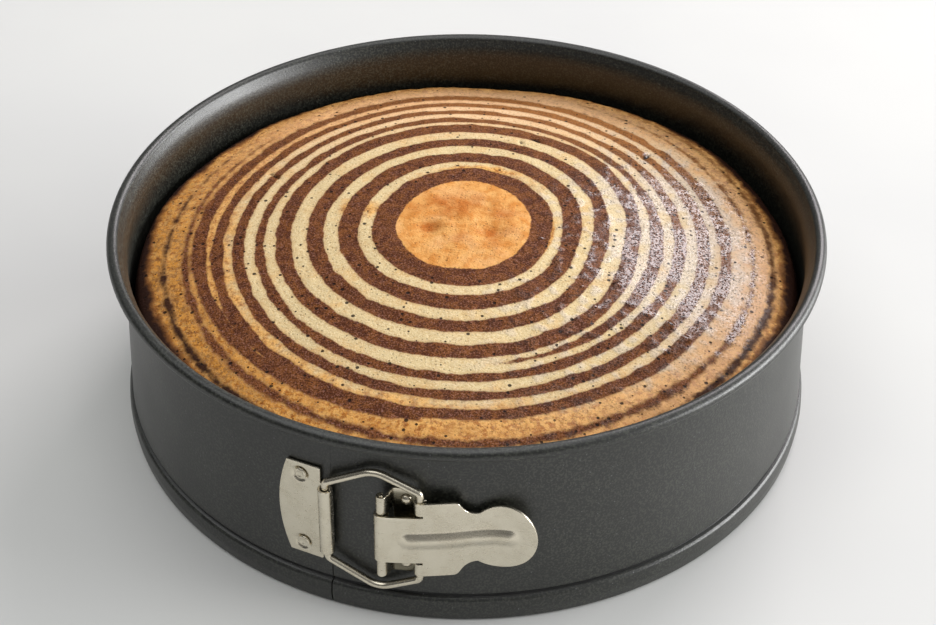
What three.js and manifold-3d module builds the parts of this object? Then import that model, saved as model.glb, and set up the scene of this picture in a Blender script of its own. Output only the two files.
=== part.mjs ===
// A zebra cake in the springform tin that it was baked in.
// Millimetres, +Z up. The origin is where the tin's axis meets the table.
// Angles round the tin are measured from -Y towards +X, so the latch is at angle 0.

import * as THREE from 'three';
import { mergeVertices } from 'three/addons/utils/BufferGeometryUtils.js';
import Module from 'manifold-3d';

const wasm = await Module();
wasm.setup();

const degree = Math.PI / 180;

// ---------------------------------------------------------------- driving dimensions

const gap = 0.3;                 // between pieces that touch or turn on each other

const tin = {
  height: 69.5,
  rimRadius: 118,                // outermost point of the rolled rim
  rollRadius: 2,
  wallTopRadius: 112.2,          // outer face, at the rim
  wallFootRadius: 116.4,         // outer face, where the foot starts
  sheet: 0.8,
  footHeight: 9.5,
  footBulge: 1.5,                // how far the foot stands proud of the wall
  seamAngle: -10.9 * degree,
  seamWidth: 0.45,
  segments: 96,
};

const base = {
  panelRadius: 109.5,            // flat panel that rests on the table
  stepRadius: 112,               // where the raised edge starts
  edgeRadius: 116.1,
  stepHeight: 2.6,
  sheet: 1,
  segments: 80,
};

const cake = {
  crownHeight: 62.2,             // top of the dome above the table
  edgeHeight: 50.7,
  edgeRadius: 110.4,
  edgeRound: 4.5,                // height over which the edge turns down into the side
  shrink: 1.7,                   // gap to the wall left as the cake cooled
  domePower: 2.15,
  segments: 80,
  rings: 17,
};

// The latch lies in a frame of its own: x along the wall, y up it, z out of it.
const latch = {
  height: 35.5,                  // middle of the latch above the table
  sheet: 0.8,
  wireRadius: 1.15,
  pinRadius: 0.65,
  rivetDome: 1.2,
  shankRadius: 1.2,
};

const hingePlate = {
  angle: -15.5 * degree,         // where it sits on the wall
  half: 17.4,                    // half its height
  left: -4.4,                    // its straight corners, from its own middle
  bulge: 3.2,                    // how far the curved edge bows out
  eyeOffset: 8.95,               // from its middle to the wire's axis
  shoulder: 2.3,                 // from that axis back to the full-height edge
  eyeHalf: 12,
  eyeRadius: 2.25,               // outside of the rolled eye
  rivetX: 0,
  rivetY: 13.2,                  // rivets above and below the middle
  rivetRadius: 2.3,
};

const bracket = {
  half: 15.9,
  right: 4.2,                    // edge short of the lever's eyes
  corner: 1.6,                   // cut off both right corners
  riserFoot: -2.7,               // where the sheet turns up to the pin
  eyeFrom: 9,
  eyeTo: 15.1,
  eyeRadius: 1.5,
  rivetX: 1.3,
  rivetY: 12.2,
  rivetRadius: 1.75,
};

const pin = { x: -5.5, z: 4.3 };

// The lever's two eyes, in which the wire's ends turn.
const ear = {
  x: 5.7,
  z: 3.2,
  radius: 1.85,                  // outside of the rolled eye
  hole: 1.2,
};

const lever = {
  sheet: 1,
  curl: 2.2,                     // outside of the roll round the pin
  narrowHalf: 8.6,
  eyeFrom: 9.4,                  // inner end of each eye, past a narrow slot
  slotEnd: 6.8,
  wideHalf: 13.8,
  wideTo: 15.8,
  shoulderX: 17.6,
  shoulderHalf: 12.1,
  paddleX: 28.9,
  paddleLong: 10.6,              // half the paddle's length and half its width
  paddleHalf: 11.6,
  waistAngle: 128 * degree,      // where the waist runs into the oval paddle
  ridgeFrom: 0,                  // a raised rib along the middle
  ridgeTo: 33.9,
  ridgeHalf: 2.6,
  ridgeHeight: 0.8,
};

const bail = {
  topBend: [14.8, 22.1, 7.5],    // along the loop from the hinge plate's eye, up, radius
  bottomBend: [15.8, -22.8, 7.5],
  hingeHalf: 14.4,               // up to the corners beside the hinge plate's eye
  endHalf: 16.5,                 // up to the corners beside the lever's eyes
  cornerRadius: 2.4,
  sides: 10,
};

const colour = {
  cake: 0xb9854f,
  coating: 0x3a3b3b,
  base: 0x44454a,
  steel: 0xc8c0b4,
};

// ---------------------------------------------------------------- shapes and solids

// Gives a geometry merged corners, no empty triangles, and faces that point out.
function closed(geometry) {
  const bare = geometry.clone();
  bare.deleteAttribute('normal');
  bare.deleteAttribute('uv');
  const merged = mergeVertices(bare, 1e-4);
  const position = merged.attributes.position;
  const source = merged.index.array;
  const corners = [0, 1, 2].map(() => new THREE.Vector3());
  const index = [];
  let volume = 0;
  for (let i = 0; i < source.length; i += 3) {
    const [a, b, c] = source.slice(i, i + 3);
    if (a === b || b === c || c === a) continue;
    index.push(a, b, c);
    [a, b, c].forEach((vertex, k) => corners[k].fromBufferAttribute(position, vertex));
    volume += corners[0].dot(corners[1].cross(corners[2]));
  }
  if (volume < 0) {
    for (let i = 0; i < index.length; i += 3) {
      [index[i], index[i + 1]] = [index[i + 1], index[i]];
    }
  }
  merged.setIndex(index);
  return merged;
}

function toSolid(geometry) {
  const ready = closed(geometry);
  return new wasm.Manifold(new wasm.Mesh({
    numProp: 3,
    vertProperties: new Float32Array(ready.attributes.position.array),
    triVerts: new Uint32Array(ready.index.array),
  }));
}

function toGeometry(solid) {
  const mesh = solid.getMesh();
  const geometry = new THREE.BufferGeometry();
  geometry.setAttribute('position', new THREE.BufferAttribute(mesh.vertProperties, 3));
  geometry.setIndex(new THREE.BufferAttribute(mesh.triVerts, 1));
  geometry.computeVertexNormals();
  return geometry;
}

// Turns a profile of [radius, height] pairs round the Z axis.
function turned(profile, segments) {
  const points = profile.map(([radius, height]) => new THREE.Vector2(radius, height));
  return closed(new THREE.LatheGeometry(points, segments).rotateX(Math.PI / 2));
}

// A plate: an outline of [x, y] pairs or a Shape, from one height to another.
function plate(outline, from, to, curveSegments = 10) {
  const shape = outline instanceof THREE.Shape ? outline : new THREE.Shape(outline.map(toVector));
  const depth = to - from;
  const options = { depth, bevelEnabled: false, curveSegments };
  return new THREE.ExtrudeGeometry(shape, options).translate(0, 0, from);
}

// A side view: an outline of [x, z] pairs, from one y to another.
function slab(outline, from, to, curveSegments = 10) {
  return plate(outline, -to, -from, curveSegments).rotateX(Math.PI / 2);
}

function toVector([x, y]) {
  return new THREE.Vector2(x, y);
}

// The outline of a bent strip of sheet whose middle follows the given points.
function strip(points, thickness) {
  const middle = points.map(toVector);
  const sideOf = (sign) => middle.map((point, i) => {
    const before = middle[Math.max(i - 1, 0)];
    const after = middle[Math.min(i + 1, middle.length - 1)];
    const along = after.clone().sub(before).normalize();
    const across = new THREE.Vector2(-along.y, along.x).multiplyScalar(sign * thickness / 2);
    return point.clone().add(across).toArray();
  });
  return [...sideOf(1), ...sideOf(-1).reverse()];
}

// A rolled eye: a ring in side view round an axis along y.
function eye(centreX, centreZ, outer, inner, from, to) {
  const ring = new THREE.Shape();
  ring.absarc(centreX, centreZ, outer, 0, 2 * Math.PI);
  const hole = new THREE.Path();
  hole.absarc(centreX, centreZ, inner, 0, 2 * Math.PI);
  ring.holes.push(hole);
  return toSolid(slab(ring, from, to, 9));
}

function disc(centreX, centreZ, radius, from, to) {
  const round = new THREE.Shape();
  round.absarc(centreX, centreZ, radius, 0, 2 * Math.PI);
  return toSolid(slab(round, from, to, 9));
}

function arc(centreX, centreY, radius, fromAngle, toAngle, steps) {
  return Array.from({ length: steps + 1 }, (_, i) => {
    const angle = fromAngle + (toAngle - fromAngle) * i / steps;
    return [centreX + radius * Math.cos(angle), centreY + radius * Math.sin(angle)];
  });
}

function finish(name, geometry, materialColour, roughness, metalness) {
  const options = { color: materialColour, roughness, metalness };
  const mesh = new THREE.Mesh(geometry, new THREE.MeshStandardMaterial(options));
  mesh.name = name;
  return mesh;
}

const coated = (name, geometry) => finish(name, geometry, colour.coating, 0.5, 0.3);
const steel = (name, geometry) => finish(name, geometry, colour.steel, 0.35, 0.9);

// ---------------------------------------------------------------- the tin

const wallSlope = (tin.wallFootRadius - tin.wallTopRadius) / (tin.height - tin.footHeight);

function wallRadius(height) {
  return tin.wallFootRadius - wallSlope * (height - tin.footHeight);
}

// One closed section: the rolled rim, the wall, and the foot that grips the base.
function makeRing() {
  const rollX = tin.rimRadius - tin.rollRadius;
  const rollZ = tin.height - tin.rollRadius;
  const flareZ = tin.height - 5.5;
  const inner = (height) => wallRadius(height) - tin.sheet;
  const footX = tin.wallFootRadius + tin.footBulge;
  const channelTop = base.stepHeight + base.sheet + gap;
  const channelX = base.edgeRadius + gap;
  const section = [
    [inner(flareZ), flareZ],
    [inner(flareZ) + 0.6, tin.height - 2.8],
    ...arc(rollX, rollZ, tin.rollRadius, 150 * degree, -120 * degree, 9),
    [wallRadius(flareZ) + 0.9, tin.height - 4.2],
    [wallRadius(flareZ - 1.5), flareZ - 1.5],
    [wallRadius(tin.footHeight + 0.8), tin.footHeight + 0.8],
    [wallRadius(tin.footHeight) - 0.1, tin.footHeight],
    [footX - 0.8, tin.footHeight - 0.9],
    [footX - 0.15, tin.footHeight * 0.7],
    [footX, tin.footHeight * 0.45],
    [footX - 0.35, tin.footHeight * 0.15],
    [footX - 0.9, 0],
    [footX - 2.7, 0],
    [footX - 2.9, base.stepHeight - gap],
    [channelX, base.stepHeight - gap],
    [channelX, channelTop + 0.6],
    [inner(channelTop + 3), channelTop + 3],
  ];
  section.push(section[0]);
  const wall = toSolid(turned(section, tin.segments));
  const slit = new THREE.BoxGeometry(tin.seamWidth, 20, 2 * tin.height);
  slit.translate(0, -tin.wallFootRadius, tin.height / 2);
  slit.rotateZ(tin.seamAngle);
  return coated('ring', toGeometry(wall.subtract(toSolid(slit))));
}

// A pressed tray: its panel rests on the table and its raised edge sits in the foot.
function makeBase() {
  const profile = [
    [0, 0],
    [base.panelRadius, 0],
    [base.stepRadius, base.stepHeight],
    [base.edgeRadius, base.stepHeight],
    [base.edgeRadius, base.stepHeight + base.sheet],
    [base.stepRadius - base.sheet * 0.6, base.stepHeight + base.sheet],
    [base.panelRadius - base.sheet * 0.6, base.sheet],
    [0, base.sheet],
  ];
  return finish('base', turned(profile, base.segments), colour.base, 0.45, 0.5);
}

// ---------------------------------------------------------------- the cake

// Dents and swellings of the baked top: [x, y, spread, height].
const dents = [
  [-12.6, -2.2, 4.2, -0.9],
  [8.4, -2.1, 4.6, -0.8],
  [-7.4, 0.2, 3.4, 0.7],
  [-0.6, 4.9, 4.4, 0.6],
  [14.5, 3.5, 4.6, 0.4],
  [-46, -30, 24, -0.5],
  [38, 46, 26, 0.5],
  [60, -34, 20, 0.5],
];

function relief(x, y) {
  const angle = Math.atan2(x, -y);
  const out = Math.hypot(x, y) / cake.edgeRadius;
  const wave = 0.55 * Math.sin(3 * angle + 0.6) + 0.35 * Math.sin(5 * angle + 2.1)
    + 0.25 * Math.sin(11 * angle + 0.9);
  const swellings = dents.reduce((sum, [dentX, dentY, spread, height]) => {
    const away = Math.hypot(x - dentX, y - dentY) / spread;
    return sum + height * Math.exp(-away * away);
  }, 0);
  return wave * out ** 3 + swellings;
}

function domeHeight(radius) {
  const fall = cake.crownHeight - cake.edgeHeight;
  return cake.crownHeight - fall * (radius / cake.edgeRadius) ** cake.domePower;
}

function makeCake() {
  const side = (height) => wallRadius(height) - tin.sheet - cake.shrink;
  const roundZ = cake.edgeHeight - cake.edgeRound;
  const trayTop = base.sheet + gap;
  const edgeBottom = base.stepHeight + base.sheet + gap;
  const top = Array.from({ length: cake.rings + 1 }, (_, i) => {
    const radius = (cake.edgeRadius - 2.4) * (i / cake.rings) ** 0.9;
    return [radius, domeHeight(radius)];
  });
  const profile = [
    ...top,
    [cake.edgeRadius - 0.7, cake.edgeHeight - 0.8],
    [side(roundZ) - 0.3, cake.edgeHeight - 2.4],
    [side(roundZ), roundZ],
    [side(edgeBottom + 8), edgeBottom + 8],
    [side(edgeBottom + 1) - 0.6, edgeBottom],
    [base.stepRadius - 1.2, edgeBottom],
    [base.panelRadius - 1.2, trayTop],
    [0, trayTop],
  ];
  const geometry = turned(profile, cake.segments);
  const position = geometry.attributes.position;
  for (let i = 0; i < position.count; i += 1) {
    const z = position.getZ(i);
    const share = THREE.MathUtils.smoothstep(z, roundZ, cake.edgeHeight - 1);
    position.setZ(i, z + share * relief(position.getX(i), position.getY(i)));
  }
  return finish('cake', toGeometry(toSolid(geometry)), colour.cake, 0.7, 0);
}

// ---------------------------------------------------------------- the latch

const wireHole = latch.wireRadius + gap;
const pinHole = latch.pinRadius + gap;
const plateBack = gap;
const plateFront = plateBack + latch.sheet;

// A rivet whose shank runs through its plate, in the plate's frame.
function rivetGeometry(rivetRadius) {
  const head = plateFront + gap;
  const dome = arc(0, head, 1, 0, Math.PI / 2, 5)
    .map(([x, z]) => [rivetRadius * x, head + latch.rivetDome * (z - head)]);
  const profile = [
    [0, plateBack],
    [latch.shankRadius, plateBack],
    [latch.shankRadius, head],
    ...dome,
  ];
  profile[profile.length - 1][0] = 0;
  return turned(profile, 20);
}

function rivetHoles({ rivetX, rivetY }) {
  return [1, -1].map((side) => {
    const hole = new THREE.CylinderGeometry(latch.shankRadius + gap, latch.shankRadius + gap, 6, 20);
    hole.rotateX(Math.PI / 2).translate(rivetX, side * rivetY, 0);
    return toSolid(hole);
  });
}

function makeRivets(names, { rivetX, rivetY, rivetRadius }, parent) {
  names.forEach((name, i) => {
    const rivet = steel(name, rivetGeometry(rivetRadius));
    rivet.position.set(rivetX, (i ? -1 : 1) * rivetY, 0);
    parent.add(rivet);
  });
}

// The left plate, with its curved edge and the eye that carries the wire loop.
function makeHingePlate() {
  const { left, half, bulge, eyeOffset, eyeHalf, eyeRadius, shoulder } = hingePlate;
  const right = eyeOffset - shoulder;
  const outline = new THREE.Shape();
  outline.moveTo(left, half);
  outline.quadraticCurveTo(left - 2 * bulge, 0, left, -half);
  outline.lineTo(right, -half);
  outline.lineTo(right, -eyeHalf);
  outline.lineTo(eyeOffset, -eyeHalf);
  outline.lineTo(eyeOffset, eyeHalf);
  outline.lineTo(right, eyeHalf);
  outline.lineTo(right, half);
  outline.closePath();
  const sheet = toSolid(plate(outline, plateBack, plateFront, 14));
  const roll = [eyeOffset, plateBack + eyeRadius];
  const rolled = eye(...roll, eyeRadius, wireHole, -eyeHalf, eyeHalf);
  const bore = disc(...roll, wireHole, -2 * eyeHalf, 2 * eyeHalf);
  let solid = sheet.subtract(bore).add(rolled);
  rivetHoles(hingePlate).forEach((hole) => {
    solid = solid.subtract(hole);
  });
  return steel('hinge_plate', toGeometry(solid));
}

// The plate under the lever, turned up at the left into two eyes that hold the pin.
function makeBracket() {
  const { half, right, corner, riserFoot, eyeFrom, eyeTo, eyeRadius } = bracket;
  const middle = plateBack + latch.sheet / 2;
  const flat = [
    [riserFoot, -half],
    [right - corner, -half],
    [right, corner - half],
    [right, half - corner],
    [right - corner, half],
    [riserFoot, half],
  ];
  const riser = strip([
    [riserFoot + 1, middle],
    [riserFoot - 0.6, middle + 0.15],
    [pin.x + 1.5, pin.z - 1.7],
    [pin.x + 1.1, pin.z - 0.7],
  ], latch.sheet);
  let solid = toSolid(plate(flat, plateBack, plateFront));
  [[eyeFrom, eyeTo], [-eyeTo, -eyeFrom]].forEach(([from, to]) => {
    const bore = disc(pin.x, pin.z, pinHole, from - 1, to + 1);
    solid = solid.add(toSolid(slab(riser, from, to)).subtract(bore));
    solid = solid.add(eye(pin.x, pin.z, eyeRadius, pinHole, from, to));
  });
  rivetHoles(bracket).forEach((hole) => {
    solid = solid.subtract(hole);
  });
  return steel('bracket', toGeometry(solid));
}

function makePin() {
  const length = 2 * bracket.eyeTo + 0.6;
  const geometry = new THREE.CylinderGeometry(latch.pinRadius, latch.pinRadius, length, 20);
  const mesh = steel('hinge_pin', closed(geometry));
  mesh.position.set(pin.x, 0, pin.z);
  return mesh;
}

// Height of the lever's outer face along its length, in side view.
const leverFace = new THREE.SplineCurve([
  [pin.x, pin.z + lever.curl],
  [4, 5.4],
  [14, 3],
  [21, 0.7],
  [27, -0.8],
  [33, -1.1],
  [lever.paddleX + lever.paddleLong + 0.5, -0.7],
].map(toVector));

// The region between the outer face lowered by a depth and a level far below or above it.
function leverRegion(depth, level, half) {
  const face = leverFace.getPoints(20).map((point) => [point.x, point.y - depth]);
  const outline = [...face, [face[face.length - 1][0], level], [face[0][0], level]];
  return toSolid(slab(outline, -half, half));
}

function leverOutline() {
  const { narrowHalf, eyeFrom, slotEnd, wideHalf, wideTo, shoulderX, shoulderHalf } = lever;
  const { paddleX, paddleLong, paddleHalf, waistAngle } = lever;
  const waistX = paddleX + paddleLong * Math.cos(waistAngle);
  const waistY = paddleHalf * Math.sin(waistAngle);
  const waistFrom = shoulderX + 1.6;
  const shape = new THREE.Shape();
  shape.moveTo(pin.x, -narrowHalf);
  shape.lineTo(slotEnd, -narrowHalf);
  shape.lineTo(slotEnd, -eyeFrom);
  shape.lineTo(ear.x - 0.4, -eyeFrom);
  shape.lineTo(ear.x - 0.4, -wideHalf);
  shape.lineTo(wideTo, -wideHalf);
  shape.lineTo(shoulderX, -shoulderHalf);
  shape.quadraticCurveTo(waistFrom, -waistY, waistX, -waistY);
  shape.absellipse(paddleX, 0, paddleLong, paddleHalf, -waistAngle, waistAngle);
  shape.quadraticCurveTo(waistFrom, waistY, shoulderX, shoulderHalf);
  shape.lineTo(wideTo, wideHalf);
  shape.lineTo(ear.x - 0.4, wideHalf);
  shape.lineTo(ear.x - 0.4, eyeFrom);
  shape.lineTo(slotEnd, eyeFrom);
  shape.lineTo(slotEnd, narrowHalf);
  shape.lineTo(pin.x, narrowHalf);
  shape.closePath();
  return shape;
}

function ridgeOutline() {
  const { ridgeFrom, ridgeTo, ridgeHalf } = lever;
  return [
    ...arc(ridgeTo - ridgeHalf, 0, ridgeHalf, -Math.PI / 2, Math.PI / 2, 8),
    ...arc(ridgeFrom + ridgeHalf, 0, ridgeHalf, Math.PI / 2, 1.5 * Math.PI, 8),
  ];
}

function makeLever() {
  const reach = 20;
  const below = leverRegion(0, -reach, reach);
  const sheet = below.subtract(leverRegion(lever.sheet, -reach, reach + 1))
    .intersect(toSolid(plate(leverOutline(), -reach, reach, 12)));
  const ridge = leverRegion(-lever.ridgeHeight, -reach, reach)
    .subtract(leverRegion(lever.sheet / 2, -reach, reach + 1))
    .intersect(toSolid(plate(ridgeOutline(), -reach, reach)));
  const { curl, narrowHalf, eyeFrom, wideHalf } = lever;
  let solid = sheet.add(ridge).subtract(disc(pin.x, pin.z, pinHole, -reach, reach));
  solid = solid.add(eye(pin.x, pin.z, curl, pinHole, -narrowHalf, narrowHalf));
  [[eyeFrom, wideHalf], [-wideHalf, -eyeFrom]].forEach(([from, to]) => {
    const bore = disc(ear.x, ear.z, ear.hole, from - 0.2, to + 0.2);
    solid = solid.subtract(bore).add(eye(ear.x, ear.z, ear.radius, ear.hole, from, to));
  });
  return steel('lever', toGeometry(solid));
}

// The wire loop, from one ear round through the hinge plate's eye to the other ear.
function makeBail(axis) {
  const length = Math.hypot(ear.x - axis.x, ear.z - axis.z);
  const lean = Math.atan2(ear.z - axis.z, ear.x - axis.x);
  const tip = lever.wideHalf + gap;
  const { topBend, bottomBend, hingeHalf, endHalf, cornerRadius } = bail;
  const corners = [
    [length, tip],
    [length, endHalf, cornerRadius],
    topBend,
    [0, hingeHalf, cornerRadius],
    [0, -hingeHalf, cornerRadius],
    bottomBend,
    [length, -endHalf, cornerRadius],
    [length, -tip],
  ];
  const route = roundedRoute(corners);
  const wire = tubeAlong(route, latch.wireRadius, bail.sides);
  const mesh = steel('bail', wire);
  mesh.position.set(axis.x, 0, axis.z);
  mesh.rotation.y = -lean;
  return mesh;
}

// Points along straight runs joined by arcs of the radius given at each corner.
function roundedRoute(corners) {
  const points = [];
  corners.forEach(([x, y, radius], i) => {
    const corner = new THREE.Vector2(x, y);
    if (!radius) {
      points.push(corner);
      return;
    }
    const back = toVector(corners[i - 1]).sub(corner).normalize();
    const on = toVector(corners[i + 1]).sub(corner).normalize();
    const half = Math.acos(THREE.MathUtils.clamp(back.dot(on), -1, 1)) / 2;
    const reach = radius / Math.tan(half);
    const start = corner.clone().addScaledVector(back, reach);
    const end = corner.clone().addScaledVector(on, reach);
    const bend = new THREE.QuadraticBezierCurve(start, corner, end);
    points.push(...bend.getPoints(5));
  });
  return points.map((point) => new THREE.Vector3(point.x, point.y, 0));
}

// A closed round tube through points that lie in the z = 0 plane.
function tubeAlong(points, radius, sides) {
  const vertices = [];
  const index = [];
  points.forEach((point, i) => {
    const before = points[Math.max(i - 1, 0)];
    const after = points[Math.min(i + 1, points.length - 1)];
    const along = after.clone().sub(before).normalize();
    const across = new THREE.Vector3(-along.y, along.x, 0);
    for (let k = 0; k < sides; k += 1) {
      const turn = 2 * Math.PI * k / sides;
      vertices.push(
        point.x + radius * Math.cos(turn) * across.x,
        point.y + radius * Math.cos(turn) * across.y,
        radius * Math.sin(turn),
      );
    }
  });
  for (let i = 0; i < points.length - 1; i += 1) {
    for (let k = 0; k < sides; k += 1) {
      const next = (k + 1) % sides;
      const [a, b] = [i * sides + k, i * sides + next];
      index.push(a, a + sides, b, b, a + sides, b + sides);
    }
  }
  const last = (points.length - 1) * sides;
  for (let k = 1; k < sides - 1; k += 1) {
    index.push(0, k, k + 1, last, last + k + 1, last + k);
  }
  const geometry = new THREE.BufferGeometry();
  geometry.setAttribute('position', new THREE.Float32BufferAttribute(vertices, 3));
  geometry.setIndex(index);
  return closed(geometry);
}

function makeLatch() {
  const group = new THREE.Group();
  const lean = Math.atan(wallSlope);
  const radius = wallRadius(latch.height);
  group.position.set(0, -radius, latch.height);
  group.rotation.x = Math.PI / 2 - lean;

  const left = new THREE.Group();
  const { angle, eyeOffset } = hingePlate;
  left.position.set(radius * Math.sin(angle), 0, radius * (Math.cos(angle) - 1));
  left.rotation.y = angle;
  left.add(makeHingePlate());
  makeRivets(['rivet_left_top', 'rivet_left_bottom'], hingePlate, left);
  group.add(left);

  const roll = plateBack + hingePlate.eyeRadius;
  const wireAxis = {
    x: left.position.x + eyeOffset * Math.cos(angle) + roll * Math.sin(angle),
    z: left.position.z - eyeOffset * Math.sin(angle) + roll * Math.cos(angle),
  };
  group.add(makeBracket());
  makeRivets(['rivet_right_top', 'rivet_right_bottom'], bracket, group);
  group.add(makePin());
  group.add(makeLever());
  group.add(makeBail(wireAxis));
  return group;
}

const part = new THREE.Group();
part.add(makeCake(), makeRing(), makeBase(), makeLatch());

export default part;
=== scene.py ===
"""The looks of a zebra cake in its springform tin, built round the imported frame."""

import math

import bpy
import numpy as np
from mathutils import Matrix, Vector, noise
from mathutils.geometry import delaunay_2d_cdt


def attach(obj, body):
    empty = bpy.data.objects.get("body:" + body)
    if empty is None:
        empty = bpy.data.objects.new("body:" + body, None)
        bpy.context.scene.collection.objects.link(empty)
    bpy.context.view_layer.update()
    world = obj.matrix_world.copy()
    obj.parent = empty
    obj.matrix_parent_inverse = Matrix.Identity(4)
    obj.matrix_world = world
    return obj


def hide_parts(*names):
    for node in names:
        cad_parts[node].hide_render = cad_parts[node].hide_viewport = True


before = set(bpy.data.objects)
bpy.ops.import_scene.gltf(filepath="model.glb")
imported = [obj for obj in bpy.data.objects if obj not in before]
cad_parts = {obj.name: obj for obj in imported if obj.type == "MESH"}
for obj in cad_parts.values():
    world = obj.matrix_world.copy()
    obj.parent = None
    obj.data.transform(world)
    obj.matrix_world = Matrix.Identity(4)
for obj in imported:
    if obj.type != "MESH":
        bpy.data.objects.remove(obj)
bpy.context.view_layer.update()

MM = 0.001

# Sizes in millimetres, as in the solids. Angles run from -Y towards +X.

# The tin's wall and foot, its rolled rim, its sheet and the slit between its ends.
WALL_FOOT, WALL_SLOPE, FOOT_TOP = 116.4, 0.07, 9.5
RIM_TOP, RIM_RADIUS, BEAD = 69.5, 118.0, 2.0
SHEET = 0.8
SEAM = math.radians(-10.9)
# The cake's dome, and the gap that its side leaves.
CROWN, EDGE_TOP, EDGE_RADIUS, DOME_POWER = 62.2, 50.7, 110.4, 2.15
SHRINK = 1.7
# The latch. X runs along it and Z out of the wall, from a point on the wall at LATCH_HEIGHT.
LATCH_HEIGHT = 35.5
WIRE = 1.15
PIN_X, PIN_Z = -5.5, 4.3
EYE_X, EYE_Z, EYE_RADIUS = 5.7, 3.2, 1.85
CURL = 2.2
HINGE_ANGLE, HINGE_EYE, HINGE_RADIUS = math.radians(-15.5), 8.95, 2.25
PLATE_BACK, PLATE_FRONT = 0.3, 1.1
# Edges that turn by more than this are shaded sharp.
SHARP_ANGLE = math.radians(52)


def wall(height):
    return WALL_FOOT - WALL_SLOPE * (height - FOOT_TOP)


def inner_wall(height):
    return wall(height) - SHEET


def cake_side(height):
    return inner_wall(height) - SHRINK


# ---------------------------------------------------------------- lines and meshes


def smoothstep(value, low, high):
    """0 at low, 1 at high, also where high is the smaller of the two."""
    share = np.clip((value - low) / (high - low), 0, 1)
    return share * share * (3 - 2 * share)


def bell(degrees, middle, spread):
    """1 at the middle angle, falling off on both sides of it."""
    away = (degrees - middle + 180) % 360 - 180
    return np.exp(-(away / spread) ** 2)


def rounded(corners, closed=True, step=math.radians(10)):
    """A polyline through corners (x, y[, radius]), each turned into an arc of its radius."""
    points = []
    count = len(corners)
    for i, corner in enumerate(corners):
        middle = np.array(corner[:2], float)
        radius = corner[2] if len(corner) > 2 else 0
        if radius == 0 or (not closed and i in (0, count - 1)):
            points.append(middle)
            continue
        back = np.array(corners[i - 1][:2], float) - middle
        onward = np.array(corners[(i + 1) % count][:2], float) - middle
        lengths = np.linalg.norm(back), np.linalg.norm(onward)
        back, onward = back / lengths[0], onward / lengths[1]
        half = math.acos(float(np.clip(back @ onward, -1, 1))) / 2
        reach = min(radius / math.tan(half), 0.49 * lengths[0], 0.49 * lengths[1])
        centre = middle + (back + onward) / np.linalg.norm(back + onward) * reach / math.cos(half)
        first, last = middle + back * reach - centre, middle + onward * reach - centre
        start = math.atan2(first[1], first[0])
        turn = (math.atan2(last[1], last[0]) - start + math.pi) % (2 * math.pi) - math.pi
        steps = max(2, math.ceil(abs(turn) / step))
        for k in range(steps + 1):
            angle = start + turn * k / steps
            points.append(centre + np.linalg.norm(first) * np.array((math.cos(angle), math.sin(angle))))
    return np.array(points)


def arc(centre, radius, start, end, steps):
    angles = np.radians(np.linspace(start, end, steps + 1))
    return np.stack([centre[0] + radius * np.cos(angles), centre[1] + radius * np.sin(angles)], 1)


def quadratic(start, control, end, steps):
    t = np.linspace(0, 1, steps + 1)[:, None]
    start, control, end = (np.array(p, float) for p in (start, control, end))
    return (1 - t) ** 2 * start + 2 * t * (1 - t) * control + t * t * end


def divided(points, spacing, closed=True):
    """The same line with no stretch longer than spacing."""
    out = []
    last = len(points) if closed else len(points) - 1
    for i in range(last):
        a, b = points[i], points[(i + 1) % len(points)]
        length = np.linalg.norm(b - a)
        if length < 1e-6:
            continue
        steps = max(1, math.ceil(length / spacing))
        out.extend(a + (b - a) * k / steps for k in range(steps))
    if not closed:
        out.append(points[-1])
    return np.array(out)


def add_mesh(name, vertices, faces, material, matrix=None, smooth=True):
    """A new object whose corners are given in millimetres, in the frame that matrix carries."""
    mesh = bpy.data.meshes.new(name)
    mesh.from_pydata([tuple(v) for v in np.asarray(vertices, float) * MM], [], faces)
    if matrix is not None:
        mesh.transform(matrix)
    mesh.validate()
    if smooth:
        mesh.shade_smooth()
    else:
        mesh.shade_flat()
    mesh.set_sharp_from_angle(angle=SHARP_ANGLE)
    mesh.materials.append(material)
    piece = bpy.data.objects.new(name, mesh)
    bpy.context.scene.collection.objects.link(piece)
    return piece


def dress(piece, body, slot, *nodes):
    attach(piece, body)
    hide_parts(*nodes)


def write(piece, name, values):
    """One number for each corner, which the material reads by its name."""
    piece.data.attributes.new(name, "FLOAT", "POINT").data.foreach_set("value", values.astype(np.float32))


def revolve(profile, segments):
    """Corners and faces of an open profile of (radius, height) turned round Z, from axis to axis."""
    vertices, faces, rings = [], [], []
    for radius, height in profile:
        if radius < 1e-6:
            rings.append([len(vertices)])
            vertices.append((0, 0, height))
            continue
        rings.append(list(range(len(vertices), len(vertices) + segments)))
        for k in range(segments):
            angle = 2 * math.pi * k / segments
            vertices.append((radius * math.sin(angle), -radius * math.cos(angle), height))
    for a, b in zip(rings, rings[1:]):
        for k in range(segments):
            after = (k + 1) % segments
            corners = [a[k % len(a)], b[k % len(b)], b[after % len(b)], a[after % len(a)]]
            faces.append(list(dict.fromkeys(corners)))
    return vertices, faces


def inside(points, loop):
    """Which points lie inside a loop, by the number of its sides to the right of them."""
    x, y = points[:, 0], points[:, 1]
    result = np.zeros(len(points), bool)
    x0, y0 = loop[-1]
    for x1, y1 in loop:
        if y0 != y1:
            result ^= ((y0 > y) != (y1 > y)) & (x < (x1 - x0) * (y - y0) / (y1 - y0) + x0)
        x0, y0 = x1, y1
    return result


def outward(loop):
    """Unit normals of an anticlockwise loop."""
    along = np.roll(loop, -1, 0) - np.roll(loop, 1, 0)
    side = np.stack([along[:, 1], -along[:, 0]], 1)
    return side / np.linalg.norm(side, axis=1, keepdims=True)


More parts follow.
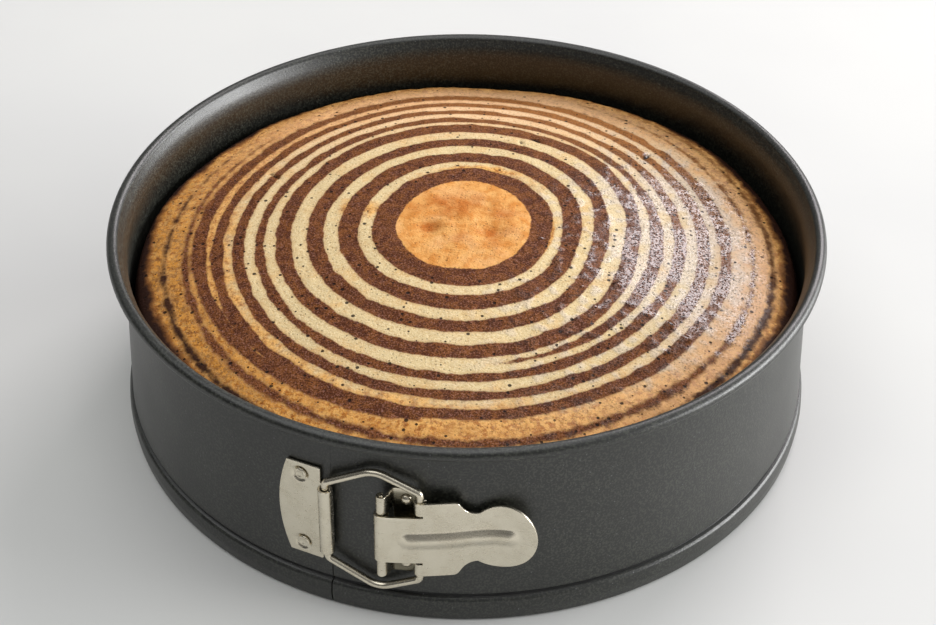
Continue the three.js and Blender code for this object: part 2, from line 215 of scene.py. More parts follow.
def filling(loop, low, high, spacing):
    """Points of a triangular grid from low to high that lie inside a loop and not close to it."""
    columns = np.arange(low[0], high[0], spacing)
    rows = np.arange(low[1], high[1], spacing * 0.87)
    grid = np.array([(x + spacing / 2 * (k % 2), y) for k, y in enumerate(rows) for x in columns])
    grid = grid[inside(grid, loop)]
    far = np.array([np.min(np.hypot(*(loop - p).T)) > 0.55 * spacing for p in grid])
    return grid[far]


def pressed_sheet(outline, place, thickness, spacing=0.5, rounding=0.15):
    """A sheet cut to an anticlockwise flat outline, with rounded edges.

    place(points, depth) puts flat points at a depth under the front face."""
    loop = divided(outline, spacing)
    side = outward(loop)
    inset = loop - rounding * side
    flat = np.concatenate([inset, filling(inset, loop.min(0), loop.max(0), spacing)])
    count = len(inset)
    border = [(k, (k + 1) % count) for k in range(count)]
    found, _, triangles, origin, _, _ = delaunay_2d_cdt([Vector(p) for p in flat], border, [], 0, 1e-5)
    points = np.array([tuple(p) for p in found])
    index = {source: k for k, sources in enumerate(origin) for source in sources}
    middles = np.array([points[list(t)].mean(0) for t in triangles])
    kept = [t for t, keep in zip(triangles, inside(middles, inset)) if keep]
    vertices = [place(points, 0.0), place(points, thickness)]
    faces = [tuple(t) for t in kept]
    faces += [tuple(len(points) + k for k in reversed(t)) for t in kept]
    bends = [math.radians(angle) for angle in (30, 60, 90)]
    edge = [(rounding * (math.sin(a) - 1), rounding * (1 - math.cos(a))) for a in bends]
    edge += [(out, thickness - depth) for out, depth in reversed(edge)]
    previous = [index[k] for k in range(count)]
    start = 2 * len(points)
    for out, depth in edge:
        vertices.append(place(loop + out * side, depth))
        current = [start + k for k in range(count)]
        start += count
        faces += bridge(previous, current)
        previous = current
    faces += bridge(previous, [len(points) + index[k] for k in range(count)])
    return np.concatenate(vertices), faces


def bridge(upper, lower):
    """Faces between two closed rows of corners of the same number."""
    count = len(upper)
    return [(upper[k], lower[k], lower[(k + 1) % count], upper[(k + 1) % count]) for k in range(count)]


class Bend:
    """Carries flat (u, y) points of a sheet to a bent side view, given by (u, x, z) along its front face."""

    def __init__(self, u, line):
        order = np.argsort(u)
        self.u, self.line = np.array(u)[order], np.array(line)[order]
        slope = np.gradient(self.line, self.u, axis=0)
        normal = np.stack([-slope[:, 1], slope[:, 0]], 1)
        self.normal = normal / np.linalg.norm(normal, axis=1, keepdims=True)

    def at(self, u):
        line = [np.interp(u, self.u, self.line[:, k]) for k in (0, 1)]
        normal = [np.interp(u, self.u, self.normal[:, k]) for k in (0, 1)]
        return np.stack(line, 1), np.stack(normal, 1)


def lengths_to_end(line, end):
    """Arc lengths along a line, shifted so that its last point has the value end."""
    steps = np.linalg.norm(np.diff(line, axis=0), axis=1)
    total = np.concatenate([[0], np.cumsum(steps)])
    return total - total[-1] + end


def from_bend(bend, points, depth, sunk=0.0):
    """Points of a bent sheet, sunk by a pressed pattern, as (x, y, z)."""
    line, normal = bend.at(points[:, 0])
    out = line - normal * (depth + sunk)[:, None]
    return np.stack([out[:, 0], points[:, 1], out[:, 1]], 1)


# ---------------------------------------------------------------- materials


def tone(code):
    """Linear colour from an sRGB code."""
    channels = [((code >> shift) & 255) / 255 for shift in (16, 8, 0)]
    return (*[c / 12.92 if c <= 0.04045 else ((c + 0.055) / 1.055) ** 2.4 for c in channels], 1)


class Graph:
    """A material with short calls for the nodes that it needs. Feature sizes are in millimetres."""

    def __init__(self, name):
        self.material = bpy.data.materials.new(name)
        self.material.use_nodes = True
        self.tree = self.material.node_tree
        self.shader = self.tree.nodes["Principled BSDF"]
        self.place = self.node("TexCoord").outputs["Object"]

    def node(self, kind, **settings):
        made = self.tree.nodes.new("ShaderNode" + kind)
        for key, value in settings.items():
            setattr(made, key, value)
        return made

    def join(self, socket, value):
        if isinstance(value, bpy.types.NodeSocket):
            self.tree.links.new(value, socket)
        else:
            socket.default_value = value

    def set(self, name, value):
        self.join(self.shader.inputs[name], value)

    def attribute(self, name):
        return self.node("Attribute", attribute_name=name).outputs["Fac"]

    def noise(self, size, detail=2.0, roughness=0.5, place=None):
        made = self.node("TexNoise")
        self.join(made.inputs["Vector"], place or self.place)
        self.join(made.inputs["Scale"], 1 / (size * MM))
        self.join(made.inputs["Detail"], detail)
        self.join(made.inputs["Roughness"], roughness)
        return made.outputs["Fac"]

    def cells(self, size, dimensions="3D"):
        """Distance from the nearest point of an uneven net, in cells, and two random values for each cell."""
        made = self.node("TexVoronoi", voronoi_dimensions=dimensions)
        self.join(made.inputs["Vector"], self.place)
        self.join(made.inputs["Scale"], 1 / (size * MM))
        split = self.node("SeparateColor")
        self.join(split.inputs[0], made.outputs["Color"])
        return made.outputs["Distance"], split.outputs[0], split.outputs[1]

    def spots(self, size, rim, core, bare):
        """Round spots scattered over the top, of uneven size.

        rim and core are radii in cells: a spot fades in from one to the other. bare is the share of
        the cells that have no spot."""
        distance, chance, growth = self.cells(size, "2D")
        near = self.math("DIVIDE", distance, self.scaled(growth, 0.85, 0.35))
        return self.times(self.step(near, rim, core), self.step(chance, bare, bare + 0.03))

    def math(self, operation, a, b):
        made = self.node("Math", operation=operation)
        self.join(made.inputs[0], a)
        self.join(made.inputs[1], b)
        return made.outputs[0]

    def times(self, a, b):
        return self.math("MULTIPLY", a, b)

    def plus(self, a, b):
        return self.math("ADD", a, b)

    def minus(self, a, b):
        return self.math("SUBTRACT", a, b)

    def scaled(self, value, factor, shift=0.0):
        made = self.node("Math", operation="MULTIPLY_ADD")
        self.join(made.inputs[0], value)
        self.join(made.inputs[1], factor)
        self.join(made.inputs[2], shift)
        return made.outputs[0]

    def step(self, value, low, high, out_low=0.0, out_high=1.0):
        """A smooth step from out_low, where value is low, to out_high, where it is high."""
        made = self.node("MapRange", interpolation_type="SMOOTHSTEP")
        names = ("Value", "From Min", "From Max", "To Min", "To Max")
        for name, item in zip(names, (value, low, high, out_low, out_high)):
            self.join(made.inputs[name], item)
        return made.outputs[0]

    def mix(self, share, a, b):
        """Colour a turned into b by a share from 0 to 1. Each is a socket or an sRGB code."""
        made = self.node("Mix", data_type="RGBA")
        self.join(made.inputs[0], share)
        for index, colour in ((6, a), (7, b)):
            self.join(made.inputs[index], tone(colour) if isinstance(colour, int) else colour)
        return made.outputs[2]

    def stretched(self, factors):
        made = self.node("Mapping")
        self.join(made.inputs["Vector"], self.place)
        self.join(made.inputs["Scale"], factors)
        return made.outputs[0]

    def bump(self, height):
        """height is in millimetres."""
        made = self.node("Bump")
        self.join(made.inputs["Height"], height)
        self.join(made.inputs["Distance"], MM)
        self.set("Normal", made.outputs[0])


# Colours as sRGB codes. A pair holds the two ends of a mottled colour.
CREAM, HONEY, PEACH, PALE_GRAIN, PAINTED_SHEEN = 0xDAC292, 0xD9A962, 0xF2C297, 0xF8E8C4, 0xE2D4C6
AMBER, BURNT = (0xA5601A, 0xE9AF60), (0x5A2F0C, 0xC98936)
TOAST, BAND_BORDER, BROWNED, DARK_GRAIN = 0xB06C22, 0xB98A55, 0xB5601B, 0xAC7B40
BLOB, BLOB_PALE, BLOB_GRAIN, BLOB_BROWNED = (0xE6AA62, 0xD28A40), 0xEBB87E, 0xC97F3A, 0xBE6C28
COCOA, COCOA_CLOUD, COCOA_DARK, COCOA_PAINTED_GLINT = (0x5C3015, 0x7E4A20), 0x6E4024, 0x35190D, 0xA0766A
COCOA_FADED, COCOA_CHARRED = 0xB4783F, 0x1C0C06
EDGE_BROWN, EDGE_BLACK_AND_GAP_SHADE = 0x7A4A26, 0x2F1A12
SPECK_SHADE, PIT_SHADE, PORE_SHADE, HOLE_SHADE = 0x40221A, 0x2A1610, 0x180D09, 0x160C09
BAND_COATING, BASE_COATING, COATING_SPECK, CREASE_PAINTED_SHADE = 0x0A0B06, 0x2A2B2C, 0x77797A, 0x050505
# What the coating's flecks add to its code, and what its clouds take away.
FLECK_PALER, CLOUD_DARKER = 0x2A2B28, 0x050505
STEEL, STEEL_SCRATCH, STEEL_PAINTED_SHADE = (0xE2DAC7, 0xD6CDB9), 0x9A9184, 0x4A4634
FLOOR = 0xD8D8D5, 0xD3D3D1


class Crust(Graph):
    """The cake's material, with the noises and attributes that its colours and bumps share."""

    def __init__(self):
        super().__init__("cake")
        self.grain = self.noise(0.55, 3, 0.65)
        self.fine = self.noise(1.1, 3, 0.65)
        self.middle = self.noise(3.4, 3, 0.6)
        self.wide = self.noise(12, 3, 0.55)
        self.bake = self.attribute("bake")
        self.wet = self.attribute("wet")


def light_bands(g, ragged):
    """Cream that turns golden where it baked longer, the brown blob at the centre, and a painted sheen on the
    wet skin.
    """
    golden = g.plus(g.bake, g.scaled(g.wide, 0.8, -0.4))
    golden = g.plus(golden, g.scaled(g.middle, 0.9, -0.45))
    amber = g.mix(g.step(g.noise(2.1, 3, 0.7), 0.38, 0.56), *AMBER)
    burnt = g.mix(g.step(g.noise(1.7, 3, 0.7), 0.4, 0.58), *BURNT)
    browned = g.times(g.attribute("brown"), g.step(g.middle, 0.3, 0.62, 0.6, 1.0))
    pale = g.times(g.step(g.grain, 0.5, 0.62, 0, 0.35), g.step(golden, 0.6, 0.0, 0.25, 1.0))

    light = g.mix(g.step(golden, 0.0, 0.75), CREAM, amber)
    light = g.mix(g.step(golden, 0.8, 1.3, 0, 0.75), light, TOAST)
    light = g.mix(g.step(g.wide, 0.48, 0.7, 0, 0.35), light, HONEY)
    light = g.mix(g.attribute("peach"), light, PEACH)
    light = g.mix(g.times(g.attribute("deep"), g.step(g.middle, 0.3, 0.65, 0.5, 1.0)), light, burnt)
    light = g.mix(g.step(ragged, -1.2, -0.2, 0, 0.3), light, BAND_BORDER)
    light = g.mix(browned, light, BROWNED)
    light = g.mix(pale, light, PALE_GRAIN)
    light = g.mix(g.step(g.fine, 0.46, 0.36, 0, 0.35), light, DARK_GRAIN)
    # Painted sheen: a lilac white over the paler bands where the skin is wet.
    light = g.mix(g.times(g.wet, g.step(golden, 0.7, 0.1, 0, 0.55)), light, PAINTED_SHEEN)

    blob = g.mix(g.step(g.middle, 0.34, 0.68), *BLOB)
    blob = g.mix(g.step(g.wide, 0.48, 0.66, 0, 0.5), blob, BLOB_PALE)
    blob = g.mix(g.step(g.grain, 0.5, 0.66, 0, 0.3), blob, BLOB_GRAIN)
    blob = g.mix(browned, blob, BLOB_BROWNED)
    return g.mix(g.step(g.bake, 1.3, 1.7), light, blob)


def dark_bands(g):
    """Cocoa crumb with painted glints on its grain, faded on the far side and charred along the near rim."""
    cocoa = g.mix(g.step(g.middle, 0.42, 0.58), *COCOA)
    cocoa = g.mix(g.step(g.wide, 0.45, 0.65, 0, 0.5), cocoa, COCOA_CLOUD)
    cocoa = g.mix(g.step(g.grain, 0.5, 0.4, 0, 0.8), cocoa, COCOA_DARK)
    # Painted glints: pale lilac specks where the cocoa's grain is high.
    cocoa = g.mix(g.step(g.grain, 0.54, 0.64, 0, 0.55), cocoa, COCOA_PAINTED_GLINT)
    cocoa = g.mix(g.times(g.attribute("faded"), g.step(g.fine, 0.3, 0.6, 0.5, 1.0)), cocoa, COCOA_FADED)
    return g.mix(g.attribute("char"), cocoa, COCOA_CHARRED)


def cake_material():
    g = Crust()
    loose = g.attribute("loose")
    drift = g.times(g.scaled(g.middle, 4.0, -2.0), loose)
    ragged = g.plus(g.plus(g.attribute("stripe"), drift), g.scaled(g.fine, 1.3, -0.65))
    dark = g.step(g.math("DIVIDE", ragged, g.scaled(loose, 2.0, 1.0)), -0.3, 0.3)
    colour = g.mix(dark, light_bands(g, ragged), dark_bands(g))
    # Darker towards the rim on top, which is the crust's own colour, and near black down the side in the gap
    # to the tin, which is painted shade.
    rough_edge_and_gap_shade = g.plus(g.attribute("edge"), g.scaled(g.middle, 0.8, -0.4))
    colour = g.mix(g.step(rough_edge_and_gap_shade, 0.15, 0.55, 0, 0.8), colour, EDGE_BROWN)
    colour = g.mix(g.step(rough_edge_and_gap_shade, 0.4, 0.9), colour, EDGE_BLACK_AND_GAP_SHADE)

    pit = g.spots(1.15, 0.36, 0.24, 0.4)
    pore = g.times(g.spots(3.1, 0.2, 0.12, 0.8), g.step(g.bake, 1.7, 1.3, 0.2, 1.0))
    speck = g.spots(1.5, 0.24, 0.12, 0.62)
    sheen = g.times(g.wet, g.scaled(dark, 0.6, 0.4))
    # Painted shade in the small pores, the pits of the wet skin, the pores and the torn holes: each is
    # darkened as well as sunk in the relief.
    colour = g.mix(g.times(speck, g.scaled(dark, 0.35, 0.35)), colour, SPECK_SHADE)
    colour = g.mix(g.times(pit, g.scaled(sheen, 0.9)), colour, PIT_SHADE)
    colour = g.mix(g.scaled(pore, 0.9), colour, PORE_SHADE)
    g.set("Base Color", g.mix(g.attribute("hole"), colour, HOLE_SHADE))

    height = g.plus(g.scaled(g.fine, 0.2), g.scaled(g.middle, 0.3))
    crinkle = g.scaled(g.noise(0.8, 3, 0.7), 1.1)
    height = g.plus(height, g.times(g.plus(sheen, 0.15), crinkle))
    height = g.minus(height, g.times(pit, g.scaled(sheen, 0.3)))
    height = g.minus(height, g.scaled(pore, 0.5))
    g.bump(g.minus(height, g.scaled(speck, 0.12)))
    set_shine(g, sheen, pit)
    return g.material


def set_shine(g, sheen, pit):
    """A matte crust, with a broken glossy skin where it is wet."""
    g.set("Roughness", g.scaled(g.fine, 0.25, 0.5))
    g.shader.inputs["Specular IOR Level"].default_value = 0.1
    skin = g.times(sheen, g.step(g.noise(0.75, 3, 0.6), 0.42, 0.54, 0.1, 1.0))
    skin = g.times(skin, g.scaled(pit, -0.95, 1.0))
    g.set("Coat Weight", g.plus(skin, 0.03))
    g.shader.inputs["Coat Roughness"].default_value = 0.18


def coating_material(name, code, roughness):
    """A dark satin coating with fine flecks, a few pale specks and painted shade in its crease."""
    g = Graph(name)
    fleck = g.noise(0.7, 2, 0.6)
    cloud = g.noise(22, 3)
    colour = g.mix(g.step(fleck, 0.46, 0.62), code, code + FLECK_PALER)
    colour = g.mix(g.step(cloud, 0.3, 0.8, 0, 0.35), colour, code - CLOUD_DARKER)
    # Painted shade: near black in the crease where the foot leaves the wall.
    colour = g.mix(g.attribute("painted_crease_shade"), colour, CREASE_PAINTED_SHADE)
    distance, chance, _ = g.cells(1.5)
    speck = g.times(g.step(distance, 0.16, 0.07), g.step(chance, 0.8, 0.84))
    g.set("Base Color", g.mix(g.scaled(speck, 0.6), colour, COATING_SPECK))
    g.bump(g.scaled(fleck, 0.06))
    g.set("Roughness", g.plus(g.scaled(fleck, 0.14, roughness - 0.07), g.scaled(cloud, 0.08, -0.04)))
    g.shader.inputs["Metallic"].default_value = 0.0
    g.shader.inputs["Specular IOR Level"].default_value = 0.8
    return g.material


def steel_material():
    """Dull plate with fine scratches along it, and painted shade on the bracket under the lever."""
    g = Graph("steel")
    cloud = g.noise(6, 3)
    grain = g.noise(0.35, 2)
    scratch = g.noise(0.5, 2, 0.6, g.stretched((0.06, 1, 1)))
    colour = g.mix(g.step(cloud, 0.3, 0.75), *STEEL)
    colour = g.mix(g.step(scratch, 0.62, 0.75, 0, 0.2), colour, STEEL_SCRATCH)
    # Painted shade: the bracket under the lever is darkened towards an olive grey.
    g.set("Base Color", g.mix(g.attribute("painted_shade"), colour, STEEL_PAINTED_SHADE))
    g.shader.inputs["Metallic"].default_value = 1.0
    g.bump(g.plus(g.scaled(scratch, 0.012), g.scaled(grain, 0.01)))
    g.set("Roughness", g.plus(g.scaled(scratch, 0.12, 0.2), g.scaled(cloud, 0.1, -0.05)))
    return g.material


def floor_material():
    g = Graph("floor")
    g.set("Base Color", g.mix(g.step(g.noise(160, 3), 0.3, 0.7), *FLOOR))
    g.shader.inputs["Roughness"].default_value = 0.6
    g.shader.inputs["Specular IOR Level"].default_value = 0.3
    return g.material


cake_look = cake_material()
coating_look = coating_material("coating", BAND_COATING, 0.4)
base_look = coating_material("base_coating", BASE_COATING, 0.45)
steel_look = steel_material()

# ---------------------------------------------------------------- the tin

# Half the width of the slit between the band's ends, at each height.
SLIT_HEIGHTS = [0, 9.5, 10, 45, 55, 69.5]
SLIT_HALVES = [0.2, 0.2, 0.16, 0.08, 0.02, 0.02]
CREASE_HEIGHT = 9.7


def ring_section():
    """The band's cut: up its inside, over the rolled rim, down its outside and round the flared foot."""
    bead = arc((RIM_RADIUS - BEAD, RIM_TOP - BEAD), BEAD, 168, -128, 30)
    up = rounded([
        (inner_wall(20), 20), (inner_wall(62.5), 62.5, 14), (inner_wall(66.6) + 1.5, 66.6), tuple(bead[0]),
    ], False)
    down = rounded([
        tuple(bead[-1]),
        (wall(64.2) + 0.5, 65.0, 1.2),
        (wall(62) + 0.05, 62, 6),
        (wall(10.6), 10.6, 0.4),
        (wall(10.1) - 0.7, 10.05, 0.12),
        (wall(9.3) - 0.7, 9.3, 0.12),
        (WALL_FOOT + 0.4, 9.0, 0.25),
        (WALL_FOOT + 1.1, 8.3, 1.2),
        (WALL_FOOT + 1.5, 4.6, 5),
        (WALL_FOOT + 1.1, 0.7, 1.2),
        (WALL_FOOT + 0.4, 0, 0.3),
        (WALL_FOOT - 1.2, 0, 0.2),
        (WALL_FOOT - 1.4, 2.2, 0.1),
        (WALL_FOOT, 2.35, 0.1),
        (WALL_FOOT, 4.5, 0.4),
        (inner_wall(7.2), 7.2, 1),
        (inner_wall(20), 20),
    ], False)
    return divided(np.concatenate([up, bead[1:], down[1:-1]]), 4.0)


def make_ring():
    """The band, in one turn with a narrow slit between its ends."""
    section = ring_section()
    count, segments = len(section), 360
    half = np.interp(section[:, 1], SLIT_HEIGHTS, SLIT_HALVES) / section[:, 0]
    vertices = []
    for k in range(segments + 1):
        turn = SEAM + half + (2 * math.pi - 2 * half) * k / segments
        x, y = section[:, 0] * np.sin(turn), -section[:, 0] * np.cos(turn)
        vertices.append(np.stack([x, y, section[:, 1]], 1))
    faces = [
        (k * count + i, (k + 1) * count + i, (k + 1) * count + (i + 1) % count, k * count + (i + 1) % count)
        for k in range(segments) for i in range(count)
    ]
    faces.append(tuple(range(count)))
    faces.append(tuple(segments * count + i for i in reversed(range(count))))
    ring = add_mesh("tin_ring", np.concatenate(vertices), faces, coating_look)
    # Painted shade in the crease where the foot leaves the wall, on the outside only.
    radius, height = np.tile(section, (segments + 1, 1)).T
    outside = radius > wall(CREASE_HEIGHT) - 0.75
    write(ring, "painted_crease_shade", smoothstep(np.abs(height - CREASE_HEIGHT), 0.75, 0.4) * outside)
    dress(ring, "tin", "coating", "ring")


def make_base():
    """The recessed panel, with the flat lip that the foot's groove holds."""
    profile = rounded([
        (0, 0), (109.5, 0, 0.8), (112, 2.6, 0.8), (116.1, 2.6, 0.2), (116.1, 3.6, 0.2), (111.4, 3.6, 0.8),
        (108.9, 1, 0.8), (0, 1),
    ], False)
    vertices, faces = revolve(divided(profile, 12, False), 256)
    dress(add_mesh("tin_base", vertices, faces, base_look), "tin", "base_coating", "base")


# ---------------------------------------------------------------- the cake

# Inner and outer radius of each dark ring near the middle, where nothing pulls it aside.
RINGS = [(23.4, 31.8), (36.2, 43), (47.8, 53.4), (58.8, 64)]
# Dark bands that wind outward from there: (degrees turned, middle, width).
WINDING = [
    [
        (14, 66, 0.2), (45, 66.3, 2.4), (90, 66.3, 2.6), (180, 67, 3), (1260, 88.5, 4.2), (1350, 90, 4.8),
        (1440, 86.5, 4),
    ],
    [(236, 95, 0.2), (300, 93.8, 2.4), (380, 96, 3), (450, 95.8, 1.4), (525, 97.6, 0.2)],
    [(240, 100.2, 0.2), (330, 101.8, 2.6), (450, 102.6, 2), (515, 103.2, 0.2)],
]
# How far the bands are drawn in on the right, and pushed out at the back: (radius, distance).
DRAWN_IN = [(20, 2.2), (50, 6), (64, 6.2), (65.6, 2.2), (80, 0)]
PUSHED_OUT = [(20, 4), (60, 4.9), (68, 7.3)]


def between(points, wanted):
    """Values along a line of points, and nothing beyond its ends."""
    places, *columns = zip(*points)
    return [np.interp(wanted, places, column, left=np.nan, right=np.nan) for column in columns]


def flowed(radius, degrees):
    """Where the uneven flow of the batter carries a plain radius."""
    drawn_in, pushed_out = (np.interp(radius, *zip(*line)) for line in (DRAWN_IN, PUSHED_OUT))
    front = 1.5 * smoothstep(radius, 62, 68) * bell(degrees, 0, 35)
    return radius - drawn_in * bell(degrees, 88, 38) + pushed_out * bell(degrees, 193, 41) + front


def dark_depth(radius, degrees):
    """How far each point lies inside the nearest dark band, or outside it if negative."""
    deepest = np.full(radius.shape, -50.0)

    def include(low, high):
        depth = np.minimum(radius - flowed(low, degrees), flowed(high, degrees) - radius)
        np.fmax(deepest, depth, out=deepest)

    for low, high in RINGS:
        include(np.full(radius.shape, low), np.full(radius.shape, high))
    for band in WINDING:
        for whole in range(5):
            middle, width = between(band, degrees + 360 * whole)
            include(middle - width / 2, middle + width / 2)
    return deepest


# Dents and swellings of the baked top: (x, y, spread, height).
DENTS = [
    (-12.6, -2.2, 4.2, -0.9), (8.4, -2.1, 4.6, -0.8), (-7.4, 0.2, 3.4, 0.7), (-0.6, 4.9, 4.4, 0.6),
    (14.5, 3.5, 4.6, 0.4), (-46, -30, 24, -0.5), (38, 46, 26, 0.5), (60, -34, 20, 0.5),
]
# Torn holes and cracks: (degrees round, radius, length along, width, turned by degrees, depth).
HOLES = [
    (137.5, 82.4, 3.4, 1.3, 20, 1.0), (166, 63.5, 4.2, 1.1, 70, 0.9), (170, 59.5, 2.2, 1.0, 30, 0.7),
    (250.4, 77.5, 3.8, 0.65, -21, 1.3), (236.7, 51.4, 0.9, 0.9, 0, 0.7), (62, 33, 0.8, 0.8, 0, 0.6),
    (302, 66, 0.8, 0.7, 0, 0.6), (15, 61, 0.7, 0.8, 0, 0.5), (331, 91.5, 1.8, 0.6, 0, 0.7),
    (343, 78, 1.0, 0.6, 0, 0.5), (286, 84, 1.1, 0.7, 0, 0.5),
]
# Waves round the crust, highest at its edge: (waves in a turn, height, shift).
WAVES = [(3, 0.55, 0.6), (5, 0.35, 2.1), (11, 0.25, 0.9)]
# Blisters of the skin: (degrees round, radius, size, height).
BLISTERS = [
    (68.8, 56.1, 1.9, 0.5), (54.2, 56.9, 1.9, 0.5), (63.7, 78, 2.1, 0.55), (62.3, 85.4, 2.3, 0.5),
    (56, 83.9, 1.8, 0.45), (59.6, 47.9, 1.2, 0.3), (85.3, 25, 1.3, 0.3), (134.4, 70, 1.4, 0.35),
    (123.4, 90.6, 2.0, 0.4), (115.5, 89.1, 1.8, 0.4),
]
# Darker baked patches of the middle: (x, y, spread, strength).
SCORCHED = [
    (-12.5, -1.8, 2.9, 0.85), (-5, 10, 5.5, 0.55), (-12, 13, 4.6, 0.4), (8.4, -1.8, 2.8, 0.6),
    (9.8, -6.8, 2.8, 0.4), (11, 9.5, 4, 0.45), (-0.8, -7.2, 2.8, 0.4), (-19, 8, 3, 0.3),
    (0, 15, 4, 0.35), (15, 1, 3, 0.25),
]
# The dark edge: where it usually begins, over what width it comes in, and the stretches where it
# begins further out, as (degrees round, spread, how much further).
EDGE_START, EDGE_FADE = 102.4, 4.5
EDGE_FURTHER = [(190, 40, 7), (268, 26, 2.6), (95, 45, 1.4)]
# Sizes of the crust's smooth noise, each with a layer of its own.
BUMP_NOISES = [(9, 1.3), (3.4, 5.1), (1.9, 9.7)]


def patches(x, y, rows):
    """Round soft patches, as (x, y, spread, strength), added together."""
    return sum(s * np.exp(-((x - px) ** 2 + (y - py) ** 2) / w ** 2) for px, py, w, s in rows)


def relief(x, y):
    """How far the crust lies above the plain dome."""
    angle = np.arctan2(x, -y)
    wave = sum(height * np.sin(count * angle + shift) for count, height, shift in WAVES)
    return wave * (np.hypot(x, y) / EDGE_RADIUS) ** 3 + patches(x, y, DENTS)


def hole_depth(x, y):
    total = np.zeros_like(x)
    for degrees, radius, length, width, lean, depth in HOLES:
        angle = math.radians(degrees)
        dx, dy = x - radius * math.sin(angle), y + radius * math.cos(angle)
        way = angle + math.radians(lean)
        along = (dx * math.sin(way) - dy * math.cos(way)) / length
        across = (dx * math.cos(way) + dy * math.sin(way)) / width
        total += depth * np.exp(-(along ** 2 + across ** 2) * 1.5)
    return total


def blister_height(x, y):
    total = np.zeros_like(x)
    for degrees, radius, size, height in BLISTERS:
        angle = math.radians(degrees)
        away = np.hypot(x - radius * math.sin(angle), y + radius * math.cos(angle)) / size
        total += height * smoothstep(away, 1, 0.35)
    return total


def bump_noise(x, y):
    """Coarse, medium and small bumps, from -1 to 1."""
    return np.array([
        [noise.noise((px / size, py / size, layer)) for size, layer in BUMP_NOISES] for px, py in zip(x, y)
    ]).T


def zone(r, turn, inner, outer, start, end):
    """A part of the top between radii and angles. Each side rises from its first value to its second."""
    return smoothstep(r, *inner) * smoothstep(r, *outer) * smoothstep(turn, *start) * smoothstep(turn, *end)


def wetness(r, turn, coarse, medium):
    """The shiny skin on the right, solid at its middle and broken up all round."""
    core = zone(r, turn, (40, 58), (104, 95), (50, 80), (150, 112))
    around = zone(r, turn, (22, 36), (104, 96), (-6, 40), (168, 130))
    solid = core * (0.3 + 0.75 * smoothstep(coarse, -0.3, 0.12))
    broken = 0.75 * around * smoothstep(medium, 0.02, 0.3)
    return np.clip(solid + broken + 0.3 * smoothstep(r, 22, 18), 0, 1)


def browning(r, turn):
    """0 where the light bands are cream, 1 where they are golden, and above that in the centre's blob."""
    start = 81 - 8 * np.cos(np.radians(turn - 300))
    golden = np.clip((r - start) / 15, 0, 1)
    blob = 1.9 * smoothstep(r, 30, 27)
    back_tint = 0.75 * bell(turn, 182, 34) * smoothstep(r, 40, 36)
    left_tint = 0.5 * bell(turn, 262, 9) * smoothstep(r, 29, 33) * smoothstep(r, 48, 44)
    return np.maximum.reduce([golden, blob, back_tint, left_tint])


def cake_profile():
    """Half of the cake's cut, from the crown over the edge and down to the middle of its underside."""
    radii = np.arange(0.0, 107.9, 0.8)
    top = np.stack([radii, CROWN - (CROWN - EDGE_TOP) * (radii / EDGE_RADIUS) ** DOME_POWER], 1)
    turned_down = rounded([
        tuple(top[-1]), (109.9, 50.2, 2.6), (cake_side(46.2), 46.2, 2), (cake_side(12), 12),
        (cake_side(5), 4.6, 1.5), (110.6, 3.9, 1), (108.3, 1.4, 1), (0, 1.3),
    ], False, math.radians(20))
    return np.concatenate([top, divided(turned_down, 9, False)[1:-1]])


def cake_faces(rings, segments):
    """Faces between rings of corners. The crown's own corner comes last, and the underside is one face."""
    faces = []
    for k in range(segments):
        after = (k + 1) % segments
        faces.append((rings * segments, k, after))
        for upper in range(0, (rings - 1) * segments, segments):
            lower = upper + segments
            faces.append((upper + k, lower + k, lower + after, upper + after))
    faces.append(tuple((rings - 1) * segments + k for k in reversed(range(segments))))
    return faces


def paint_cake(cake, r, turn, z, coarse, medium):
    """What the crust's material reads of its bands, its baking and the painted shade in the gap at its side.
    """
    edge = sum((further * bell(turn, middle, spread) for middle, spread, further in EDGE_FURTHER), EDGE_START)
    edge = np.clip((r - edge - 1.6 * coarse) / EDGE_FADE, 0, 1)
    at_back = smoothstep(r, 52, 84) * smoothstep(r, 110, 99) * bell(turn, 182, 62)
    on_right = smoothstep(r, 76, 90) * smoothstep(r, 107, 99) * bell(turn, 88, 52)
    write(cake, "stripe", dark_depth(r, turn) + 0.7 * coarse + 0.35 * medium)
    write(cake, "loose", smoothstep(r, 84, 100))
    # The edge darkens the top's outer rim, and the side that drops into the gap to the tin, where it is
    # painted shade.
    write(cake, "edge", edge + smoothstep(z, 50.6, 48.5))
    write(cake, "bake", browning(r, turn))
    write(cake, "peach", 0.75 * np.maximum(at_back, on_right))
    write(cake, "deep", 0.92 * smoothstep(r, 82, 99) * bell(turn, 298, 56))
    write(cake, "faded", 0.85 * smoothstep(r, 55, 92) * bell(turn, 150, 58))
    write(cake, "char", 0.85 * smoothstep(r, 97, 101) * (1 - bell(turn, 170, 75)))


